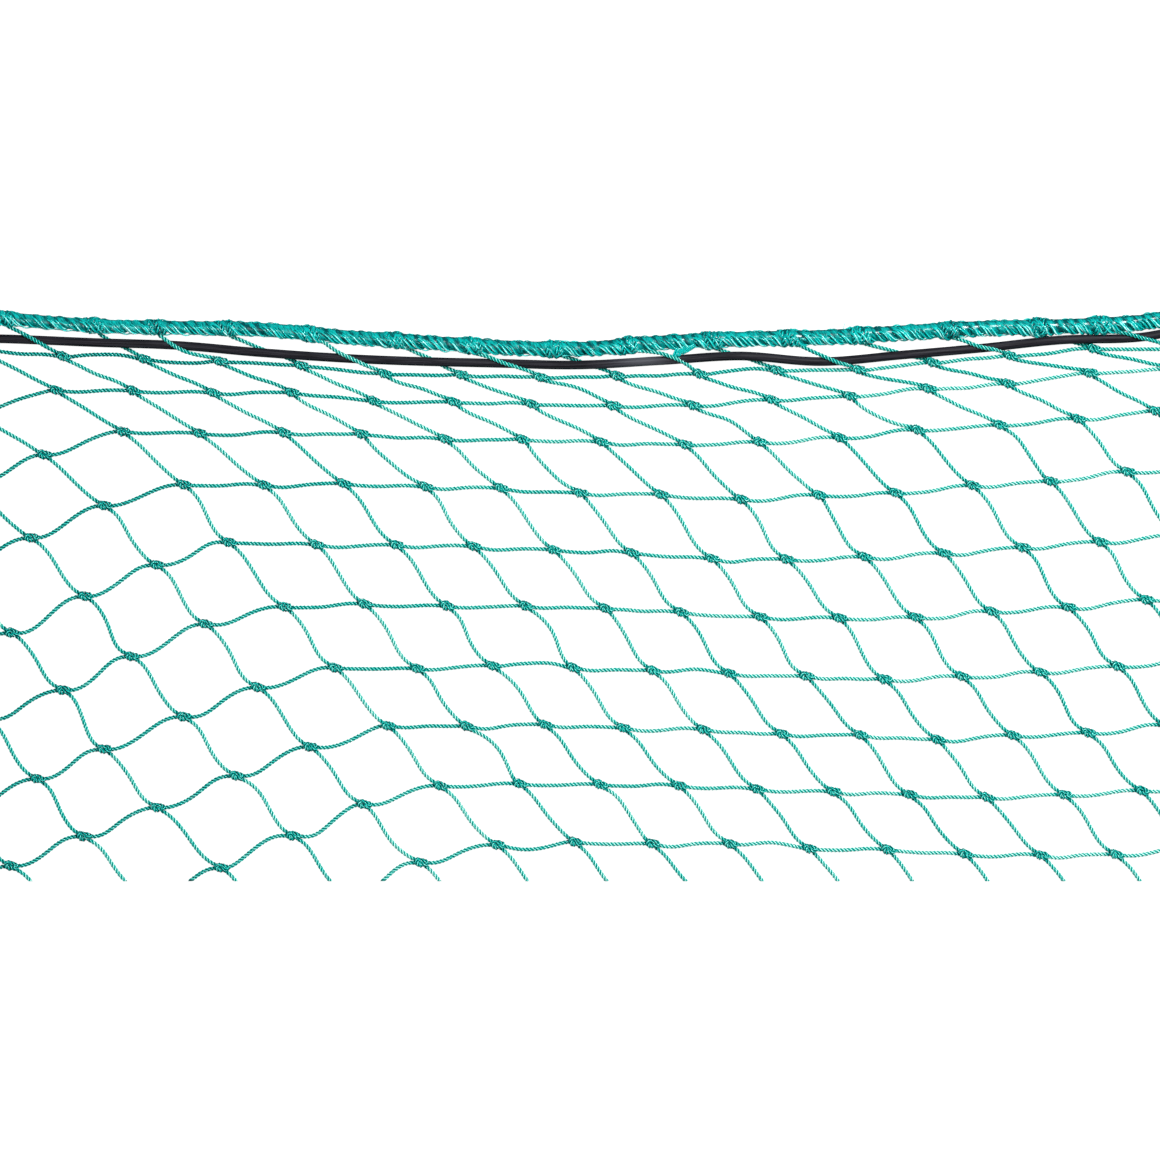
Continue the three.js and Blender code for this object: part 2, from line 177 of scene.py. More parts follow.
# Elastic cord, and the legs that pass over and under it
ELASTIC_RADIUS = 2.5
ELASTIC_SIDES = 24
ELASTIC_STEP = 1.5
ELASTIC_PAINTED_SHEEN = 36  # place along the net where its painted sheen is lightest
ELASTIC_PAINTED_SHEEN_REACH = 16
ELASTIC_LIFT = 2.3  # underside of the elastic where a leg passes under it
LEG_OVER = 5.9  # middle of a leg that passes over the elastic
LEG_OVER_CLIMB = 0.4  # how much lower it is in front of the elastic
LEG_OVER_END = 4.5  # its height at the border
LEG_UNDER_END = 2.4  # the same for a leg that passes under the elastic
LEG_START = 1.5  # height of any leg at its knot
LEG_CLEARANCE = 3.7  # along a leg, from the middle of the elastic

# The cut: straight at both sides and along the lower edge, which lies at y = 0 in the layout
CUT_LEFT = -328.5
CUT_RIGHT = 350
KNOT_MARGIN = 5
CUT_OVERRUN = 40  # length of strand followed past a cut before it is trimmed
TOP_ROW = -2
LAST_ROW = 7
FIRST_COLUMN = -13
LAST_COLUMN = 10

# Layout of the knots, which lie where they do in the part's source
FIRST_KNOT = (12, 247)
KNOT_TURN_SHARE = 0.3
ROW_STEPS = np.array(
    [  # column, across, rise
        (-12, 41, 16),
        (-10, 41, 16.5),
        (-9, 41, 18.5),
        (-8, 41, 17.5),
        (-7, 44, 11),
        (-6, 45, 1),
        (-3, 45, -1.5),
        (0, 45, -1.5),
        (1, 44.5, 1.5),
        (3, 44.5, 3.4),
        (7, 44.3, 4.2),
    ]
)
SECTION_COLUMNS = (-8, -2, 5)
COLUMN_STEPS = [
    {"across": (40, 40, 40.5), "down": (20.5, 17.5, 12), "slack": 0.1},
    {"across": (38.5, 39.5, 38.5), "down": (24, 22.5, 20), "slack": 0.4},
    {"across": (35, 34.2, 30), "down": (28, 29.5, 31), "slack": 0.7},
    {"across": (29, 28, 26.5), "down": (34, 34, 34.5), "slack": 0.85},
    {"across": (27.5, 28.5, 27), "down": (33.5, 34, 33), "slack": 1},
    {"across": (28, 27.3, 26), "down": (34.5, 34, 33.5), "slack": 1},
    {"across": (30.5, 29.5, 27.5), "down": (33.5, 33.5, 33.5), "slack": 1},
    {"across": (31.5, 29.5, 28), "down": (33, 33, 33), "slack": 1},
    {"across": (31, 30, 29), "down": (33, 33, 33), "slack": 1},
]
KNOT_SLIPS = [  # reach, and wave in radians from column to column and row to row
    {"reach": 0.8, "column": 5.3, "row": 2.9},
    {"reach": 0.5, "column": 3.1, "row": -4.7},
]
PULLED_KNOTS = {  # (column, row): shift across and up
    (-6, -2): (0, 5),
    (-5, -2): (1.8, 0.8),
    (-4, -2): (3, 0),
    (-1, -2): (1.5, -2),
    (1, -2): (0, 1.5),
    (2, -2): (-0.8, 1.5),
    (3, -2): (0.8, 1.5),
    (4, -2): (-1.5, 1.2),
    (5, -2): (-0.5, -0.8),
    (6, -2): (-3, -0.7),
    (7, -2): (-3, -0.7),
    (8, -2): (0, -1.1),
    (9, -2): (0, -5.4),
    (-6, -1): (2.5, 2),
    (-2, -1): (2.2, -2),
    (-1, -1): (2, -1.7),
    (7, -1): (0.7, 1),
    (-6, 0): (1.2, 1.8),
    (-4, 0): (2, 0),
    (-2, 0): (1.2, -1.4),
    (1, 0): (2.5, 0),
    (4, 0): (-1.5, 1),
    (-8, 1): (0, -1.8),
    (-3, 1): (2.2, 0),
    (6, 1): (-2, 0.5),
    (-9, 2): (0, -2.5),
    (-6, 2): (-2.2, 2.2),
    (-5, 2): (2.5, 0),
    (-4, 2): (2, 0),
    (0, 2): (1.8, -1.5),
    (-9, 3): (2.8, -1.4),
    (-4, 3): (2, 0),
    (-3, 3): (2.2, 0),
    (-2, 3): (2.2, 1.5),
    (-9, 4): (-3.8, 0.5),
    (-7, 4): (2, -0.5),
    (-6, 4): (2, -0.5),
    (-5, 4): (3.5, -1.5),
    (-9, 5): (-2.8, 1.6),
    (-10, 5): (-3.5, 1),
    (-11, 5): (-4, 1.5),
}
ARMS = {  # mouth of a strand on its knot, its heading in degrees, and the knot that it leads to
    "right": {"x": 3.2, "y": -0.6, "heading": -10, "column": 1, "row": 0, "opposite": "left"},
    "upper": {"x": -2.6, "y": 1.7, "heading": 147, "column": 0, "row": -1, "opposite": "lower"},
    "left": {"x": -3.2, "y": 0, "heading": 175, "column": -1, "row": 0, "opposite": "right"},
    "lower": {"x": 2.2, "y": -2.1, "heading": -36, "column": 0, "row": 1, "opposite": "upper"},
}

# Single strands that bow sideways, by the knot that they start from: to the left, seen from it
STRAND_BOWS = {
    "right": {
        (-5, -2): 2.2,
        (-4, -2): -1.6,
        (3, -2): 1.5,
        (-4, 4): 2.5,
        (-2, 4): 2,
        (-7, 5): -2.3,
        (-9, 6): 3,
        (-8, 6): -2.2,
        (-6, 7): -2.5,
        (-3, 7): 2.2,
    },
    "lower": {
        (1, -2): 2.3,
        (2, -1): 2.3,
        (4, -1): -3,
        (-3, 0): -1.6,
        (-1, 0): -2.4,
        (5, 0): 2.5,
        (2, 1): -1.8,
        (-3, 3): 3,
        (-4, 4): 2.3,
        (-8, 5): 2.4,
        (-5, 5): 5,
        (-7, 6): -2.6,
        (-4, 6): 2.3,
    },
}

# Heights of the two cords' middle lines up the net, at even steps from the left to the right
EDGE_START = -360
EDGE_STEP = 45
BORDER_LINE = (
    320, 315.5, 312, 311, 310, 306, 303, 300, 299,
    302.5, 304.5, 305.5, 308, 310.5, 311.5, 314, 322,
)
ELASTIC_LINE = (
    305.5, 304.5, 302.5, 301, 297, 294, 292, 291, 290,
    292.5, 295, 292, 295.5, 299.5, 304, 305.7, 314,
)

# Hitches from the left to the right, one for each knot of the top row
FIRST_HITCH_COLUMN = -5
HITCH_X = (-321, -270, -236, -196, -143, -96, -58, -8, 38, 76, 124, 159, 209, 259, 302)
LEG_BOWS = (0, 0, 3.2, 0, 1.2, 0, 0, 0, -2.2, 0, 1, 0, 0.5, 0, -0.5)  # to the left, from the knot
LEG_RUNS = {-1: 6, 0: 6, 2: 5, 3: 9, 5: 5, 9: 8}  # by column: along the border before the turns
TURNS_X = tuple(x - LEG_RUNS.get(column, 0) for column, x in enumerate(HITCH_X, FIRST_HITCH_COLUMN))

# Runs of the four strands inside a knot, from its middle out to its mouths
KNOT_RUNS = {  # x, y, z
    "right": [(0.0, 1.3, 1.0), (1.5, 0.8, 1.0), (2.6, 0.0, 1.0)],
    "upper": [(0.6, 1.1, 2.6), (-0.8, 1.3, 2.3)],
    "left": [  # a bight that ends under the upper strand
        (0.0, 1.0, 2.4),
        (1.4, 0.9, 2.7),
        (2.8, 0.6, 2.9),
        (3.8, -0.3, 3.0),
        (3.5, -1.4, 3.2),
        (2.0, -1.5, 3.1),
        (0.2, -0.8, 2.6),
        (-1.8, -0.3, 2.0),
    ],
    "lower": [  # round the neck of the bight and back through it
        (0.9, 1.0, 1.0),
        (-0.6, 1.6, 1.4),
        (-1.5, 1.7, 2.8),
        (-2.2, 0.9, 3.6),
        (-2.0, -0.4, 3.7),
        (-1.2, -1.4, 3.3),
        (-0.1, -1.8, 2.1),
        (0.9, -1.4, 1.2),
        (1.3, -0.3, 1.9),
        (1.7, -0.1, 2.9),
        (2.1, -1.0, 2.5),
    ],
}
KNOT_JITTER = 0.18
KNOT_SWING = 8  # degrees

# Frayed end of a cord under the border, and two stray hairs on top of it
TAIL_ENDS = ((52.4, 294.2, 5.8), (59.5, 297.4, 5.8))
TAIL_ROOTS = (55, 67.5)  # from and to, along the border
TAIL_FIBRES = 44
TAIL_FIBRE_RADIUS = 0.5
TAIL_ROOT_DROP = 1.5  # from the middle of the border
TAIL_ROOT_HEIGHTS = (-1, 2)  # from and to, from the middle of the border
TAIL_TIP_SPREAD = (0.8, 0.4, 0.2)
TAIL_SAG_SPREAD = 0.3
TAIL_TINTS = (-0.2, 0.5)
HAIRS = [  # along the border, lean and height
    (147.5, 1.0, 4.2),
    (235.5, -0.4, 2.6),
]
HAIR_RADIUS = 0.14
HAIR_ROOT = (0, 3, 1)  # from the middle of the border
HAIR_POINTS = 6
HAIR_TINT = 0.2

# Colours, by place on a ramp from the painted shade in the crevices of the fibre to the painted
# highlight on its crowns, with the fibre's own teal between
TWINE_COLOURS_AND_PAINTED_LIGHT = [
    (0.0, (0.0, 0.08, 0.085)),
    (0.2, (0.0, 0.29, 0.25)),
    (0.45, (0.005, 0.46, 0.39)),
    (0.55, (0.03, 0.52, 0.445)),
    (0.8, (0.5, 0.84, 0.75)),
]
# share of the painted light and shade, dark in the crevices between plies and light on their crowns
TWINE_PAINTED_CROWN_SHARE = 0.58
PLAIT_COLOURS_AND_PAINTED_LIGHT = [
    (0.1, (0.0, 0.06, 0.065)),
    (0.35, (0.0, 0.3, 0.28)),
    (0.6, (0.0, 0.5, 0.46)),
    (0.72, (0.06, 0.68, 0.63)),
    (0.84, (0.6, 1.0, 0.97)),
]
PLAIT_PAINTED_CROWN_SHARE = 0.4
# ramp from the elastic's near-black to the grey of a painted sheen
ELASTIC_COLOURS_AND_PAINTED_SHEEN = [
    (0.26, (0.005, 0.0045, 0.007)),
    (0.42, (0.021, 0.02, 0.027)),
    (0.7, (0.06, 0.063, 0.075)),
]

# Surfaces: noise stretched along and around the fibre, shares of what is mixed, and gloss
NOISE_DETAIL = 3.0
STREAKS = {"along": 0.35, "around": 2.2}
STREAK_MARKS = (0.35, 0.65)  # of the noise, at the streaks' darkest and lightest
PAINTED_CROWN_MARKS = (0.25, 1.0)  # from the side of a ply to its top, from painted shade to painted highlight
FIBRE_TINT_SHARE = 0.5
GRAIN = {"along": 0.5, "around": 5.0}
GRAIN_STRENGTH = 0.5
GRAIN_DEPTH = 0.1
FIBRE_ROUGHNESS = 0.22
FIBRE_SPECULAR = 0.5
SLEEVE = {"along": 0.04, "around": 4.0}
SLEEVE_PAINTED_SHEEN_SHARE = 0.35
SLEEVE_ROUGHNESS = 0.5
SLEEVE_SPECULAR = 0.1

# Floor and light, in metres and watts
FLOOR_HALF = 6
FLOOR_COLOUR = (0.15, 0.15, 0.15, 1)
FLOOR_ROUGHNESS = 0.9
FLOOR_GLOW = 0.95
WHITE = (1, 1, 1, 1)
LIGHTS = [
    {"name": "overhead", "place": (0.9, 1.0, 2.0), "size": 0.8, "power": 82},
    {"name": "fill", "place": (-0.9, -0.6, 2.0), "size": 1.6, "power": 18},
]
WORLD_STRENGTH = 0.22

rng = np.random.default_rng(RANDOM_SEED)


# Layout


def direction(angle):
    return np.array([math.cos(angle), math.sin(angle)])


def row_step(column):
    stops, across, rise = ROW_STEPS.T
    return np.array([np.interp(column, stops, across), np.interp(column, stops, rise)])


def step_below(row):
    return COLUMN_STEPS[min(max(row - TOP_ROW, 0), len(COLUMN_STEPS) - 1)]


def column_step(column, row):
    step = step_below(row)
    across = np.interp(column, SECTION_COLUMNS, step["across"])
    down = np.interp(column, SECTION_COLUMNS, step["down"])
    return np.array([across, -down])


@functools.cache
def knot_place(column, row):
    place = np.array(FIRST_KNOT, float)
    for passed in range(column):
        place += row_step(passed)
    for passed in range(-1, column - 1, -1):
        place -= row_step(passed)
    for passed in range(row):
        place += column_step(column, passed)
    for passed in range(-1, row - 1, -1):
        place -= column_step(column, passed)
    for axis, slip in enumerate(KNOT_SLIPS):
        place[axis] += slip["reach"] * math.sin(slip["column"] * column + slip["row"] * row)
    return place + PULLED_KNOTS.get((column, row), (0, 0))


def knot_turn(column, row):
    across, rise = knot_place(column + 1, row) - knot_place(column - 1, row)
    return KNOT_TURN_SHARE * math.atan2(rise, across)


def is_kept(column, row):
    x, y = knot_place(column, row)
    return row >= TOP_ROW and CUT_LEFT + KNOT_MARGIN < x < CUT_RIGHT - KNOT_MARGIN and y > KNOT_MARGIN


def mouth(column, row, arm):
    turn = knot_turn(column, row)
    spin = np.array([direction(turn), direction(turn + math.pi / 2)])
    point = knot_place(column, row) + np.array([arm["x"], arm["y"]]) @ spin
    return point, turn + math.radians(arm["heading"])


def eased(before, here, there, after, share):
    """A smooth curve from one value to the next, given those on either side of them."""
    rest = 1 - share
    return (
        here * rest**2 * (1 + 2 * share)
        + there * share**2 * (3 - 2 * share)
        + (there - before) / 2 * share * rest**2
        - (after - here) / 2 * share**2 * rest
    )


def edge_height(line, x):
    """Height of a cord's middle line up the net."""
    along = (np.asarray(x, float) - EDGE_START) / EDGE_STEP
    last = len(line) - 1
    first = np.clip(np.floor(along).astype(int), 0, last - 1)
    values = np.array(line, float)
    around = (values[np.clip(first + offset, 0, last)] for offset in (-1, 0, 1, 2))
    return eased(*around, along - first)


# Paths


def lengths_along(path):
    steps = np.linalg.norm(np.diff(path, axis=0), axis=1)
    return np.concatenate([[0], np.cumsum(steps)])


def evenly(path, step):
    """The path with its points about a step apart."""
    along = lengths_along(path)
    count = max(int(round(along[-1] / step)), 2)
    places = np.linspace(0, along[-1], count + 1)
    return np.stack([np.interp(places, along, path[:, axis]) for axis in range(3)], axis=1)


def curve_through(points, step):
    points = np.asarray(points, float)
    padded = np.concatenate([[2 * points[0] - points[1]], points, [2 * points[-1] - points[-2]]])
    share = np.linspace(0, 1, CURVE_POINTS, endpoint=False)[:, None, None]
    pieces = eased(padded[:-3], padded[1:-2], padded[2:-1], padded[3:], share)
    dense = np.concatenate([pieces.swapaxes(0, 1).reshape(-1, 3), points[-1:]])
    return evenly(dense, step)


def unit(vectors):
    return vectors / np.linalg.norm(vectors, axis=-1, keepdims=True)


def frames_along(path):
    """Two directions across the path at each point, which turn with it and don't twist."""
    tangents = unit(np.gradient(path, axis=0))
    normal = UP - tangents[0] * (UP @ tangents[0])
    normals = []
    for tangent in tangents:
        normal = normal - tangent * (normal @ tangent)
        normal = normal / np.linalg.norm(normal)
        normals.append(normal)
    normals = np.array(normals)
    return normals, np.cross(tangents, normals)


# Meshes


class Skin:
    """Gathers closed tubes into one mesh, with the fibre's lie and a tint stored on its points; the
    tint carries both tone and painted light and shade.
    """

    def __init__(self):
        self.points = []
        self.loops = []
        self.sizes = []
        self.lies = []
        self.tints = []
        self.count = 0

    def tube(self, rings, tint, lie=None):
        steps, sides, _ = rings.shape
        index = self.count + np.arange(steps * sides).reshape(steps, sides)
        beside = np.roll(index, -1, axis=1)
        quads = np.stack([index[:-1], beside[:-1], beside[1:], index[1:]], axis=-1)
        caps = np.concatenate([index[0, ::-1], index[-1]])
        self.loops.append(np.concatenate([quads.ravel(), caps]))
        self.sizes.append(np.concatenate([np.full((steps - 1) * sides, 4), [sides, sides]]))
        self.points.append(np.maximum(rings.reshape(-1, 3), (-math.inf, -math.inf, 0)))
        if lie is None:
            turns = 2 * math.pi * np.arange(sides) / sides
            along = lengths_along(rings.mean(axis=1))[:, None] + rng.uniform(0, LIE_SPREAD)
            lie = np.stack(np.broadcast_arrays(np.cos(turns), np.sin(turns), along), axis=-1)
        self.lies.append(lie.reshape(-1, 3))
        self.tints.append(np.broadcast_to(tint, (steps, sides)).ravel())
        self.count += steps * sides

    def build(self, name, material):
        mesh = bpy.data.meshes.new(name)
        loops = np.concatenate(self.loops)
        sizes = np.concatenate(self.sizes)
        points = (np.concatenate(self.points) + layout_shift) * MM
        mesh.vertices.add(self.count)
        mesh.vertices.foreach_set("co", points.astype(np.float32).ravel())
        mesh.loops.add(len(loops))
        mesh.loops.foreach_set("vertex_index", loops.astype(np.int32))
        mesh.polygons.add(len(sizes))
        starts = np.concatenate([[0], np.cumsum(sizes)[:-1]])
        mesh.polygons.foreach_set("loop_start", starts.astype(np.int32))
        mesh.polygons.foreach_set("use_smooth", sizes == 4)
        lie = mesh.attributes.new("lie", "FLOAT_VECTOR", "POINT")
        lie.data.foreach_set("vector", np.concatenate(self.lies).astype(np.float32).ravel())
        tint = mesh.attributes.new("tint", "FLOAT", "POINT")
        tint.data.foreach_set("value", np.concatenate(self.tints).astype(np.float32))
        mesh.update(calc_edges=True)
        mesh.validate()
        mesh.materials.append(material)
        piece = bpy.data.objects.new(name, mesh)
        bpy.context.scene.collection.objects.link(piece)
        return piece


def tube_rings(centres, outward, radius, sides):
    """Rings of points round the centres, each starting on its outward side."""
    tangents = unit(np.gradient(centres, axis=0))
    beside = unit(np.cross(tangents, outward))
    above = np.cross(beside, tangents)
    turns = 2 * math.pi * np.arange(sides) / sides
    radius = np.broadcast_to(radius, len(centres))[:, None, None]
    ring = np.cos(turns)[:, None] * above[:, None] + np.sin(turns)[:, None] * beside[:, None]
    return centres[:, None] + radius * ring


def level_rings(path, radius, sides):
    return tube_rings(path, np.broadcast_to(UP, path.shape), radius, sides)


def inside_cut(points):
    """How far inside the nearest cut the points lie."""
    return np.minimum.reduce([points[..., 0] - CUT_LEFT, CUT_RIGHT - points[..., 0], points[..., 1]])


def trimmed_end(rings, inset):
    """The tube up to the cut or a little short of it, with its last ring in the plane of its end."""
    depth = inside_cut(rings) - inset
    if depth[-1].min() >= 0:
        return rings
    last = np.flatnonzero(depth.min(axis=1) >= 0)[-1]
    crossing = np.minimum(len(rings) - (depth >= 0)[::-1].argmax(axis=0), len(rings) - 1)
    sides = np.arange(rings.shape[1])
    before, after = depth[crossing - 1, sides], depth[crossing, sides]
    share = np.where(after < 0, before / (before - after), 1)[:, None]
    cut = rings[crossing - 1, sides] * (1 - share) + rings[crossing, sides] * share
    return np.concatenate([rings[: last + 1], cut[None]])


def trimmed(rings, inset=0.0):
    return trimmed_end(trimmed_end(rings, inset)[::-1], inset)[::-1]


def shaded_near_knots(rings, shade, knots):
    """The tint of a twine, which near the knots turns to their painted shade, with painted light on top
    and painted shade below.
    """
    places = rings.mean(axis=1)[:, None, :2]
    nearest = np.linalg.norm(places - np.array(knots), axis=-1).min(axis=1)
    share = np.clip((KNOT_SHADE_START - nearest) / KNOT_SHADE_FADE, 0, 1)[:, None]
    # painted shade of the knots, by their place along the net
    knot_shade = np.interp(places[..., 0], TINT_PLACES, TINTS_AND_PAINTED_SHADE["knots"])
    height = np.clip((rings[..., 2] - KNOT_MIDDLE) / (KNOT_TOP - KNOT_MIDDLE), -1, 1)
    return shade + share * (knot_shade + KNOT_PAINTED_LIGHT * height - shade)


# Tint of a strand by its place and heading, with painted light and shade, and darker in the top row
def strand_tint(place, kind, row):
    tint = np.interp(place[0], TINT_PLACES, TINTS_AND_PAINTED_SHADE[kind])
    return tint + (TOP_ROW_TINT if row == TOP_ROW else 0)


def add_twine(skin, path, tint, knots, girth=1.0):
    """A twine along a path, in its own tint, with that of the knots near them."""
    path = evenly(path, girth * PLY_PITCH / PLY_STEPS)
    path[:, 2] = np.maximum(path[:, 2], TWINE_RADIUS)
    normals, binormals = frames_along(path)
    inside = inside_cut(path) > -2 * TWINE_RADIUS
    kept = slice(max(inside.argmax() - 2, 0), len(path) - max(inside[::-1].argmax() - 2, 0))
    start = rng.uniform(0, 2 * math.pi)
    shade = tint + rng.uniform(-TINT_SPREAD, TINT_SPREAD)
    for ply in range(PLY_COUNT):
        turn = start + 2 * math.pi * (ply / PLY_COUNT + lengths_along(path) / (girth * PLY_PITCH))
        outward = np.cos(turn)[:, None] * normals + np.sin(turn)[:, None] * binormals
        centres = path + girth * (TWINE_RADIUS - PLY_RADIUS) * outward
        rings = tube_rings(centres, outward, girth * PLY_RADIUS, PLY_SIDES)
        rings = trimmed(rings[kept])
        ply_shade = shade + rng.uniform(-PLY_SHADES, PLY_SHADES)
        skin.tube(rings, shaded_near_knots(rings, ply_shade, knots))


# Net and its hitches


def swayed(path):
    """The path with a slight wander that dies out at its ends."""
    share = np.linspace(0, 1, len(path))
    waves = sum(rng.uniform(-1, 1) * np.sin(math.pi * share * wave) for wave in SWAY_WAVES)
    across = np.cross(UP, unit(path[-1] - path[0]))
    return path + STRAND_SWAY * waves[:, None] * across


def bowed(path, bow):
    """The flat path with a bow to its left."""
    heading = unit(path[-1] - path[0])
    left = np.array([-heading[1], heading[0]])
    return path + bow * np.sin(np.linspace(0, math.pi, len(path)))[:, None] * left


@functools.cache
def knot_spin(column, row):
    swing = knot_turn(column, row) + math.radians(rng.uniform(-KNOT_SWING, KNOT_SWING))
    return np.array([[*direction(swing), 0], [*direction(swing + math.pi / 2), 0], UP])


def knot_run(column, row, name):
    run = np.array(KNOT_RUNS[name]) + rng.normal(0, KNOT_JITTER, (len(KNOT_RUNS[name]), 3))
    return run @ knot_spin(column, row) + np.append(knot_place(column, row), 0)


def strand_curve(column, row, arm):
    """The flat curve from a knot's mouth to the facing mouth of the next knot."""
    start, start_heading = mouth(column, row, arm)
    far_column, far_row = column + arm["column"], row + arm["row"]
    end, end_heading = mouth(far_column, far_row, ARMS[arm["opposite"]])
    slack = step_below(min(row, far_row))["slack"]
    chord = end - start
    heading = math.atan2(chord[1], chord[0])
    leave, arrive = (
        heading + slack * math.remainder(angle - heading, 2 * math.pi)
        for angle in (start_heading, end_heading + math.pi)
    )
    handle = np.linalg.norm(chord) / 3
    share = np.linspace(0, 1, STRAND_POINTS)[:, None]
    return (
        start * (1 - share) ** 3
        + 3 * (start + handle * direction(leave)) * share * (1 - share) ** 2
        + 3 * (end - handle * direction(arrive)) * share**2 * (1 - share)
        + end * share**3
    )


def add_strand(skin, column, row, name):
    arm = ARMS[name]
    far = (column + arm["column"], row + arm["row"])
    bow = STRAND_BOWS.get(name, {}).get((column, row), 0)
    flat = bowed(strand_curve(column, row, arm), bow)
    along = lengths_along(flat)
    lift = np.exp(-along / STRAND_LIFT_REACH)
    if is_kept(*far):
        lift += np.exp((along - along[-1]) / STRAND_LIFT_REACH)
        end = knot_run(*far, arm["opposite"])[::-1]
    else:
        onward = np.append(unit(flat[-1] - flat[-2]), 0)
        end = np.append(flat[-1], TWINE_RADIUS) + np.arange(1, CUT_OVERRUN)[:, None] * onward
    path = swayed(np.column_stack([flat, TWINE_RADIUS + STRAND_LIFT * lift]))
    whole = np.concatenate([knot_run(column, row, name), path, end])
    tint = strand_tint(flat.mean(axis=0), "level" if arm["row"] == 0 else "slanting", row)
    add_twine(skin, curve_through(whole, TWINE_STEP), tint, [knot_place(column, row), knot_place(*far)])


def passes_over(column):
    return column % 2 != 0


def leg_line(column):
    """A leg from its knot to its hitch, and where it crosses the elastic."""
    start, _ = mouth(column, TOP_ROW, ARMS["upper"])
    hitch = HITCH_X[column - FIRST_HITCH_COLUMN]
    end = np.array([hitch, edge_height(BORDER_LINE, hitch) - LEG_END_GAP])
    shares = np.linspace(0, 1, LEG_TRIES)
    points = start + shares[:, None] * (end - start)
    above = points[:, 1] > edge_height(ELASTIC_LINE, points[:, 0])
    crossing = shares[above.argmax()]
    return start, end, crossing


def swell(x):
    """Thickness of the border along it, where 1 is usual."""
    away = (np.asarray(x)[..., None] - np.array(TURNS_X) + SWELL_BACK) / SWELL_REACH
    girth = np.interp(x, BORDER_PLACES, BORDER_GIRTHS)
    return girth * (1 + SWELL * np.exp(-(away**2)).max(axis=-1))


def rolled(x, aside, above):
    """Points on the border, given by their places across and through the plait."""
    y = edge_height(BORDER_LINE, x) + aside * math.cos(PLAIT_ROLL) + above * math.sin(PLAIT_ROLL)
    z = BORDER_MIDDLE - aside * math.sin(PLAIT_ROLL) + above * math.cos(PLAIT_ROLL)
    return np.column_stack([x, y, z])


@functools.cache
def hitch_turns(hitch):
    """Uneven turns of twine round the border, from right to left."""
    turn = np.linspace(HITCH_START, HITCH_END, HITCH_POINTS)
    angle = 2 * math.pi * turn
    wave = rng.uniform(0, 2 * math.pi)
    lean = HITCH_LEAN * (1 + HITCH_UNEVENNESS * np.sin(HITCH_LEAN_WAVES * angle + wave))
    x = hitch + np.interp(turn, range(len(HITCH_PASSES)), HITCH_PASSES) + lean * np.cos(angle)
    x = np.maximum(x, CUT_LEFT + TWINE_RADIUS)
    out = HITCH_UNEVENNESS * np.sin(HITCH_OUT_WAVES * angle + wave) - HITCH_SINK
    aside = -(swell(x) * (PLAIT_SWING + STRAND_RADIUS) + out) * np.cos(angle)
    above = (swell(x) * (PLAIT_DEPTH + STRAND_RADIUS) + out) * np.sin(angle)
    turns = rolled(x, aside, above)
    turns[:, 2] = np.maximum(turns[:, 2], TWINE_RADIUS)
    return turns


def add_leg(skin, column):
    """The twine from a knot of the top row, past the elastic, to its hitch on the border."""
    start, end, crossing = leg_line(column)
    length = np.linalg.norm(end - start)
    heading = (end - start) / length
    middle = crossing * length
    if passes_over(column):
        stops = [0, middle - LEG_CLEARANCE, middle, middle + LEG_CLEARANCE, length]
        heights = [LEG_START, LEG_OVER - LEG_OVER_CLIMB, LEG_OVER, LEG_OVER, LEG_OVER_END]
    else:
        stops = [0, middle + LEG_CLEARANCE, length]
        heights = [LEG_START, TWINE_RADIUS, LEG_UNDER_END]
    along = np.linspace(0, length, LEG_POINTS)
    flat = bowed(start + along[:, None] * heading, LEG_BOWS[column - FIRST_HITCH_COLUMN])
    rise = np.column_stack([flat, np.interp(along, stops, heights)])
    tucked = hitch_turns(TURNS_X[column - FIRST_HITCH_COLUMN])[:HITCH_TUCK]
    whole = np.concatenate([knot_run(column, TOP_ROW, "upper"), swayed(rise), tucked])
    tint = strand_tint(end, "slanting", TOP_ROW) + LEG_TINT
    add_twine(skin, curve_through(whole, TWINE_STEP), tint, [knot_place(column, TOP_ROW)])


def add_arms(skin, column, row):
    """A knot's strands, without those that the knot at the other end adds."""
    for name, arm in ARMS.items():
        far = (column + arm["column"], row + arm["row"])
        if far[1] < TOP_ROW:
            add_leg(skin, column)
        elif arm["column"] + arm["row"] > 0 or not is_kept(*far):
            add_strand(skin, column, row, name)


def net_skins():
    """The net's twine, row by row, with two rows in each piece."""
    skins = []
    for first in range(TOP_ROW, LAST_ROW + 1, 2):
        skin = Skin()
        for row in (first, first + 1):
            for column in range(FIRST_COLUMN, LAST_COLUMN + 1):
                if is_kept(column, row):
                    add_arms(skin, column, row)
        skins.append(skin)
    return skins


# Cords


def wander(x, name):
    """A seeded unevenness along the border."""
    total = sum(
        rng.uniform(*WAVE_SHARES) * np.sin(x / wave + rng.uniform(0, 2 * math.pi))
        for wave in WANDERS[name]["waves"]
    )
    return WANDERS[name]["reach"] * total


